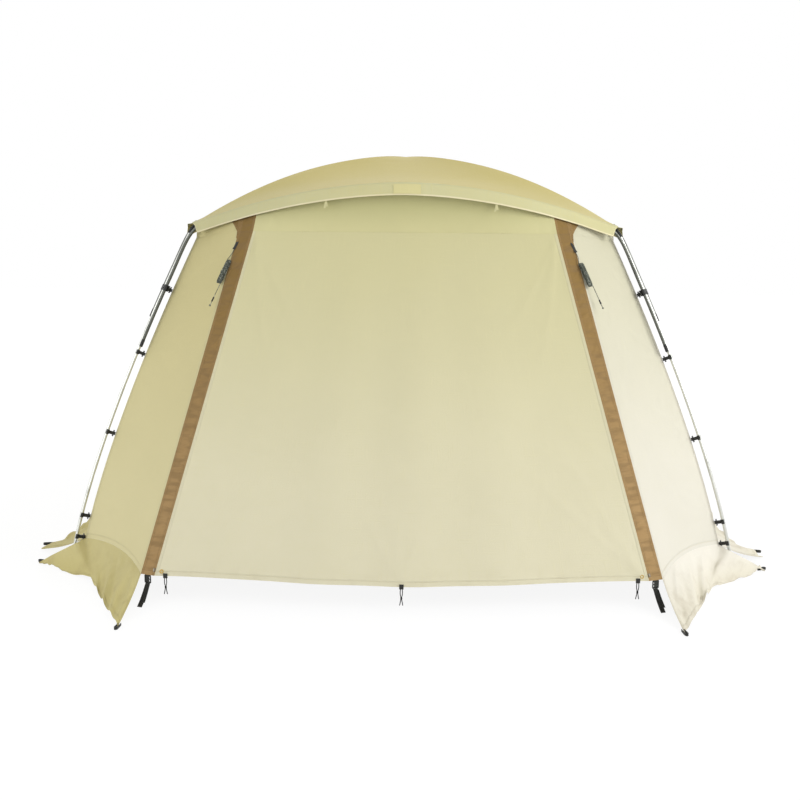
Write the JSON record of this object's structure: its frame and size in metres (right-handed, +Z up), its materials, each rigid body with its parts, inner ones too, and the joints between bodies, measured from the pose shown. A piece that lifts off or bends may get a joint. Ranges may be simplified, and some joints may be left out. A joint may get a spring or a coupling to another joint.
{
  "type": "party tent",
  "caption": "Dome party tent with crossing roof poles, outside leg poles, clipped cloth walls, ground skirts and lifting doors.",
  "frame": {"origin": "on the ground under the apex", "axes": "+Z up, -Y out of the front door, +X to the right of someone who looks at the front"},
  "size_m": [3.84, 4.1694, 2.155],
  "materials": {
    "roof_cloth": "satin",
    "wall_cloth": "matte",
    "strip_cloth": "matte",
    "skirt_cloth": "matte",
    "black_webbing": "matte",
    "black_plastic": "satin",
    "steel_tube": "satin",
    "zip_metal": "satin",
    "grey_cord": "matte",
    "elastic_cord": "matte"
  },
  "bodies": {
    "tent": {"front_eave_pole": "steel_tube", "front_header": "wall_cloth", "front_left_corner_panel": "wall_cloth", "front_left_corner_skirt": "skirt_cloth", "front_left_corner_strip": "strip_cloth", "front_left_foot_cap": "black_plastic", "front_left_guy_line": "grey_cord", "front_left_leg_pole": "steel_tube", "front_left_roof_pole": "steel_tube", "front_left_shoulder_elbow": "black_plastic", "front_left_strap": "black_webbing", "front_right_corner_panel": "wall_cloth", "front_right_corner_skirt": "skirt_cloth", "front_right_corner_strip": "strip_cloth", "front_right_foot_cap": "black_plastic", "front_right_guy_line": "grey_cord", "front_right_leg_pole": "steel_tube", "front_right_roof_pole": "steel_tube", "front_right_shoulder_elbow": "black_plastic", "front_right_strap": "black_webbing", "left_eave_pole": "steel_tube", "left_side_skirt": "skirt_cloth", "left_side_wall": "wall_cloth", "rear_eave_pole": "steel_tube", "rear_header": "wall_cloth", "rear_left_corner_panel": "wall_cloth", "rear_left_corner_skirt": "skirt_cloth", "rear_left_corner_strip": "strip_cloth", "rear_left_foot_cap": "black_plastic", "rear_left_leg_pole": "steel_tube", "rear_left_shoulder_elbow": "black_plastic", "rear_left_strap": "black_webbing", "rear_right_corner_panel": "wall_cloth", "rear_right_corner_skirt": "skirt_cloth", "rear_right_corner_strip": "strip_cloth", "rear_right_foot_cap": "black_plastic", "rear_right_leg_pole": "steel_tube", "rear_right_shoulder_elbow": "black_plastic", "rear_right_strap": "black_webbing", "right_eave_pole": "steel_tube", "right_side_skirt": "skirt_cloth", "right_side_wall": "wall_cloth", "roof_canopy": "roof_cloth"},
    "front_door": {"front_door": "wall_cloth", "door_left_loop": "elastic_cord", "door_middle_loop": "elastic_cord", "door_right_loop": "elastic_cord"},
    "rear_door": {"rear_door": "wall_cloth"},
    "front_right_buckle": {"front_right_buckle": "black_plastic"},
    "front_right_zip_slider": {"front_right_zip_slider": "zip_metal"},
    "front_left_buckle": {"front_left_buckle": "black_plastic"},
    "front_left_zip_slider": {"front_left_zip_slider": "zip_metal"},
    "rear_left_buckle": {"rear_left_buckle": "black_plastic"},
    "rear_left_zip_slider": {"rear_left_zip_slider": "zip_metal"},
    "rear_right_buckle": {"rear_right_buckle": "black_plastic"},
    "rear_right_zip_slider": {"rear_right_zip_slider": "zip_metal"},
    "front_right_guy_runner": {"front_right_guy_runner": "black_plastic"},
    "front_left_guy_runner": {"front_left_guy_runner": "black_plastic"}
  },
  "joints": [
    {"name": "front_door_lift", "type": "hinge", "parent": "tent", "child": "front_door", "pos_m": [0, -1.32, 1.68], "axis": [-1, 0, 0], "range_deg": [0, 80]},
    {"name": "rear_door_lift", "type": "hinge", "parent": "tent", "child": "rear_door", "pos_m": [0, 1.32, 1.68], "axis": [1, 0, 0], "range_deg": [0, 80]},
    {"name": "front_right_buckle_tilt", "type": "hinge", "parent": "tent", "child": "front_right_buckle", "pos_m": [1.15348, -1.78609, 0.1271], "axis": [-0.9386, -0.3451, 0], "range_deg": [0, 50]},
    {"name": "front_right_zip_slider_travel", "type": "slide", "parent": "tent", "child": "front_right_zip_slider", "axis": [-0.2365, 0.2874, 0.9281], "range_m": [0, 1.5]},
    {"name": "front_left_buckle_tilt", "type": "hinge", "parent": "tent", "child": "front_left_buckle", "pos_m": [-1.15348, -1.78609, 0.1271], "axis": [-0.9386, 0.3451, 0], "range_deg": [0, 50]},
    {"name": "front_left_zip_slider_travel", "type": "slide", "parent": "tent", "child": "front_left_zip_slider", "axis": [0.2365, 0.2874, 0.9281], "range_m": [0, 1.5]},
    {"name": "rear_left_buckle_tilt", "type": "hinge", "parent": "tent", "child": "rear_left_buckle", "pos_m": [-1.15348, 1.78609, 0.1271], "axis": [0.9386, 0.3451, 0], "range_deg": [0, 50]},
    {"name": "rear_left_zip_slider_travel", "type": "slide", "parent": "tent", "child": "rear_left_zip_slider", "axis": [0.2365, -0.2874, 0.9281], "range_m": [0, 1.5]},
    {"name": "rear_right_buckle_tilt", "type": "hinge", "parent": "tent", "child": "rear_right_buckle", "pos_m": [1.15348, 1.78609, 0.1271], "axis": [0.9386, -0.3451, 0], "range_deg": [0, 50]},
    {"name": "rear_right_zip_slider_travel", "type": "slide", "parent": "tent", "child": "rear_right_zip_slider", "axis": [-0.2365, -0.2874, 0.9281], "range_m": [0, 1.5]},
    {"name": "front_right_guy_runner_slide", "type": "slide", "parent": "tent", "child": "front_right_guy_runner", "axis": [-0.376, 0.3118, 0.8726], "range_m": [-0.01, 0.065]},
    {"name": "front_left_guy_runner_slide", "type": "slide", "parent": "tent", "child": "front_left_guy_runner", "axis": [0.376, 0.3118, 0.8726], "range_m": [-0.01, 0.065]}
  ]
}
